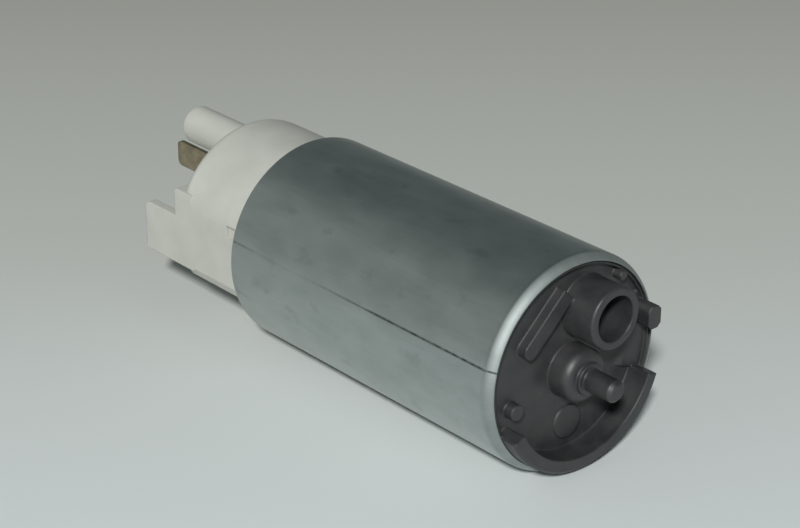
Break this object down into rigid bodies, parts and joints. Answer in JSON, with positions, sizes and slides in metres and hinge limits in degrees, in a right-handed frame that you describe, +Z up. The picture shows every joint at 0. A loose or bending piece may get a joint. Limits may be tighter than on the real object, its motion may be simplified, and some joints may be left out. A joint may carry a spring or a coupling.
{
  "type": "electric fuel pump",
  "caption": "In-tank electric fuel pump: rolled steel casing, dark inlet cover with offset inlet and centre pin, white outlet cap with outlet tube and blade terminals.",
  "frame": {"origin": "on the casing's axis, midway between its two rolled lips", "axes": "+X along the casing's axis towards the inlet end, +Z up as the pump lies in the picture"},
  "size_m": [0.116, 0.038, 0.038],
  "materials": {
    "zinc_steel": "zinc plated, rolled, satin",
    "dark_moulding": "moulded glass-filled plastic, matt",
    "white_moulding": "moulded acetal, satin",
    "sintered_bronze": "sintered bronze",
    "hard_steel": "ground steel",
    "core_steel": "stamped electrical steel",
    "insulator": "fibre sheet",
    "copper": "copper",
    "ferrite": "sintered ferrite or carbon",
    "seal_rubber": "fluorocarbon rubber",
    "brass": "stamped brass"
  },
  "bodies": {
    "rotor": {"shaft": "hard_steel", "armature_core": "core_steel", "armature_insulator_front": "insulator", "armature_insulator_rear": "insulator", "armature_windings": "copper", "commutator": "copper", "rear_washer": "white_moulding", "impeller": "dark_moulding"},
    "brush_left": {"brush_left": "ferrite"},
    "brush_right": {"brush_right": "ferrite"},
    "check_valve": {"check_valve_plunger": "white_moulding"},
    "relief_valve": {"relief_valve_ball": "hard_steel"},
    "pump": {"casing_tube": "zinc_steel", "inlet_cover": "dark_moulding", "pump_body": "dark_moulding", "front_bearing": "sintered_bronze", "rear_bearing": "sintered_bronze", "thrust_button": "hard_steel", "flux_ring": "zinc_steel", "magnet_upper": "ferrite", "magnet_lower": "ferrite", "magnet_clip_right": "hard_steel", "magnet_clip_left": "hard_steel", "outlet_cap": "white_moulding", "cap_seal": "seal_rubber", "terminal_upper": "brass", "terminal_lower": "brass", "choke_upper": "ferrite", "choke_lower": "ferrite", "brush_spring_left": "hard_steel", "brush_spring_right": "hard_steel", "brush_lead_left": "copper", "brush_lead_right": "copper", "check_valve_seat": "brass", "check_valve_spring": "hard_steel", "relief_valve_retainer": "brass", "relief_valve_spring": "hard_steel"}
  },
  "joints": [
    {"name": "rotor_spin", "type": "hinge", "parent": "pump", "child": "rotor", "pos_m": [0, 0, 0], "axis": [1, 0, 0], "continuous": true},
    {"name": "brush_left_slide", "type": "slide", "parent": "pump", "child": "brush_left", "axis": [-1, 0, 0], "range_m": [0, 0.004], "stiffness_N_per_m": 150, "springref_m": -0.008, "deforming": ["brush_spring_left", "brush_lead_left"]},
    {"name": "brush_right_slide", "type": "slide", "parent": "pump", "child": "brush_right", "axis": [-1, 0, 0], "range_m": [0, 0.004], "stiffness_N_per_m": 150, "springref_m": -0.008, "deforming": ["brush_spring_right", "brush_lead_right"]},
    {"name": "check_valve_lift", "type": "slide", "parent": "pump", "child": "check_valve", "axis": [-1, 0, 0], "range_m": [0, 0.0025], "stiffness_N_per_m": 100, "springref_m": -0.003, "deforming": ["check_valve_spring"]},
    {"name": "relief_valve_lift", "type": "slide", "parent": "pump", "child": "relief_valve", "axis": [-1, 0, 0], "range_m": [0, 0.001], "stiffness_N_per_m": 400, "springref_m": -0.003, "deforming": ["relief_valve_spring"]}
  ]
}
